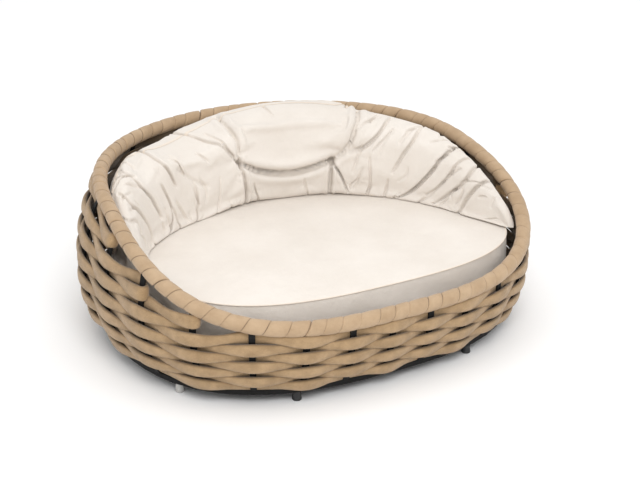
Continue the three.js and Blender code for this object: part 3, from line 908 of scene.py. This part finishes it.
def sharp_relief(along, around, length, folds):
    """The thin sharp bottom of each fold, pressed into the filled cover, as a push outwards."""
    push = np.zeros(along.shape)
    for fold in folds:
        push -= crease(along, around, length, fold, narrow=0.42, deep=1.15, lift=0.2)
    for fold in DEEP_FOLDS:
        push -= crease(along, around, length, fold, narrow=0.36, deep=0.7, lift=0.05)
    push -= crease(along, around, length, LOBE_CREASE, narrow=0.42, deep=0.65, lift=0.0)
    return push * fade_at_ends(along)


def cut_cover(middle, widths, heights, length, floor_z):
    """The cover as it is cut: longer, straighter and wider than it lies."""
    turn = np.unwrap(np.arctan2(*np.gradient(middle, axis=0).T[::-1]))
    halfway = turn[len(turn) // 2]
    bend = halfway + CUT_STRAIGHTER * (turn - halfway)
    step = CUT_LONGER * length / (BOLSTER_ROWS - 1)
    cut_middle = np.cumsum(step * np.stack([np.cos(bend), np.sin(bend)], -1), axis=0)
    return bolster_shell(cut_middle, CUT_WIDER * widths, CUT_WIDER * heights, floor_z)


def make_bolster(random):
    low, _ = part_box("bolster")
    floor_z = low[2]
    sections, length = bolster_sections()
    middle = sections[:, :2] + [MIDDLE_X, MIDDLE_Y]
    widths, heights = sections[:, 2], sections[:, 3] - floor_z
    shell = bolster_shell(middle, widths, heights, floor_z)
    along, around = bolster_shares(*shell.shape[:2])
    folds = SOFT_FOLDS + wall_side_folds(random, WALL_SIDE_FOLDS) + gathers(random, WING_GATHERS)
    resting = shell[..., 2] < floor_z + RESTS_BELOW
    push = np.where(resting, 0, broad_relief(along, around, length, folds)) * fade_at_ends(along)
    start = shell + grid_normals(shell) * push[..., None]
    start[..., 2] = np.maximum(start[..., 2], floor_z)
    uv = np.zeros((BOLSTER_ROWS + 1, BOLSTER_COLUMNS + 1, 2))
    piece = grid_object("bolster_cover", start, uv)
    held = resting | (crease(along, around, length, LOBE_CREASE) > HELD_IN_CREASE)
    for tuft in (TUFT_LEFT, TUFT_RIGHT):
        held |= tuft_gap(along, around, length, tuft) < HELD_AT_TUFT
    cut_points = cut_cover(middle, widths, heights, length, floor_z)
    start = blow_up(piece, cut_points, held, SIMULATION_FRAMES, SIMULATION_CAP).reshape(start.shape)
    bpy.data.objects.remove(piece)
    # Sharp creases need finer steps along the bolster than round it.
    cover = finer(finer(start))[:, ::2]
    along, around = bolster_shares(*cover.shape[:2])
    cover += grid_normals(cover) * sharp_relief(along, around, length, folds)[..., None]
    cover[..., 2] = np.maximum(cover[..., 2], floor_z)
    uv = np.stack(bolster_shares(cover.shape[0] + 1, cover.shape[1] + 1), -1) * [length, BOLSTER_GIRTH]
    piece = grid_object("bolster_cover", cover, uv)
    finish_piece(piece, "bolster", CANVAS, "cream_fabric", "bolster")
    make_seam(cover)


def make_seam(cover):
    """Flat stitched strip that follows the cover's surface."""
    line = smooth_curve([(u, v, 0) for u, v in SEAM], SEAM_STEPS)
    rows, columns = cover.shape[:2]
    normals = grid_normals(cover)

    def on_cover(grid, share_along, share_around):
        row = np.clip(share_along * (rows - 1), 0, rows - 1.001)
        column = share_around % 1 * columns
        i, j = row.astype(int), column.astype(int) % columns
        a, b = (row - i)[:, None], (column % 1)[:, None]
        j2 = (j + 1) % columns
        near = grid[i, j] * (1 - b) + grid[i, j2] * b
        far = grid[i + 1, j] * (1 - b) + grid[i + 1, j2] * b
        return near * (1 - a) + far * a

    place = on_cover(cover, line[:, 0], line[:, 1])
    outward = unit(on_cover(normals, line[:, 0], line[:, 1]))
    along = unit(np.gradient(place, axis=0))
    across = unit(np.cross(outward, along))
    turn = np.linspace(0, 2 * math.pi, 10, endpoint=False)
    points = (place[:, None] + SEAM_STANDS_OUT * outward[:, None]
              + across[:, None] * (SEAM_HALF_WIDTH * np.cos(turn))[None, :, None]
              + outward[:, None] * (SEAM_HALF_THICKNESS * np.sin(turn))[None, :, None])
    run = running_length(place, False)
    uv = np.stack(np.meshgrid(np.append(run, run[-1]), np.linspace(0, SEAM_GIRTH, 11), indexing="ij"), -1)
    piece = grid_object("bolster_seam", points, uv)
    finish_piece(piece, "bolster", PIPING, "cream_fabric")


# ---- Floor, light and camera ----
SKY_AT_HORIZON = 0.42
SKY_OVERHEAD = 1.36
KEY_PLACE = (-0.8, -2.1, 2.1)
KEY_TARGET = (0, 0, 0.1)
KEY_SIZE = 1.3
KEY_POWER = 32
FLOOR_HALF = 20


def make_floor():
    mesh = bpy.data.meshes.new("floor")
    corners = [(FLOOR_HALF * x, FLOOR_HALF * y, 0) for x, y in ((-1, -1), (1, -1), (1, 1), (-1, 1))]
    mesh.from_pydata(corners, [], [(0, 1, 2, 3)])
    floor = bpy.data.objects.new("floor", mesh)
    bpy.context.scene.collection.objects.link(floor)
    nodes = Nodes("floor_paint")
    nodes.shader.inputs["Base Color"].default_value = colour(0.94, 0.94, 0.94)
    nodes.shader.inputs["Roughness"].default_value = 0.9
    nodes.shader.inputs["Specular IOR Level"].default_value = 0.1
    mesh.materials.append(nodes.material)


def make_key_light():
    light = bpy.data.lights.new("key_from_above", "AREA")
    light.shape = "DISK"
    light.size = KEY_SIZE
    light.energy = KEY_POWER
    lamp = bpy.data.objects.new("key_from_above", light)
    lamp.location = KEY_PLACE
    lamp.rotation_euler = (Vector(KEY_TARGET) - Vector(KEY_PLACE)).to_track_quat("-Z", "Y").to_euler()
    bpy.context.scene.collection.objects.link(lamp)


def make_world():
    world = bpy.data.worlds.new("studio")
    world.use_nodes = True
    tree = world.node_tree
    direction = tree.nodes.new("ShaderNodeTexCoord").outputs["Generated"]
    parts = tree.nodes.new("ShaderNodeSeparateXYZ")
    sky = tree.nodes.new("ShaderNodeMapRange")
    sky.inputs["To Min"].default_value = SKY_AT_HORIZON
    sky.inputs["To Max"].default_value = SKY_OVERHEAD
    tree.links.new(direction, parts.inputs["Vector"])
    tree.links.new(parts.outputs["Z"], sky.inputs["Value"])
    tree.links.new(sky.outputs["Result"], tree.nodes["Background"].inputs["Strength"])
    tree.nodes["Background"].inputs["Color"].default_value = (1, 1, 1, 1)
    bpy.context.scene.world = world
    bpy.context.scene.view_settings.view_transform = "Standard"


def make_camera():
    azimuth, elevation = math.radians(-29.67), math.radians(22.47)
    distance = 2.758
    focal_in_widths = 1300 / 640
    target = Vector((0.057, MIDDLE_Y, 0.143))
    back = Vector((math.sin(azimuth) * math.cos(elevation), -math.cos(azimuth) * math.cos(elevation),
                   math.sin(elevation)))
    data = bpy.data.cameras.new("camera")
    data.sensor_width = 36
    data.lens = 36 * focal_in_widths
    camera = bpy.data.objects.new("camera", data)
    camera.location = target + back * distance
    camera.rotation_euler = back.to_track_quat("Z", "Y").to_euler()
    bpy.context.scene.collection.objects.link(camera)
    bpy.context.scene.camera = camera


make_world()
make_floor()
make_key_light()
make_camera()

paint_frame()
RANDOM = np.random.default_rng(RANDOM_SEED)
for row_number in range(ROW_COUNT):
    make_row(row_number, RANDOM)
make_wrap(RANDOM)
make_feet()
make_seat()
make_bolster(RANDOM)
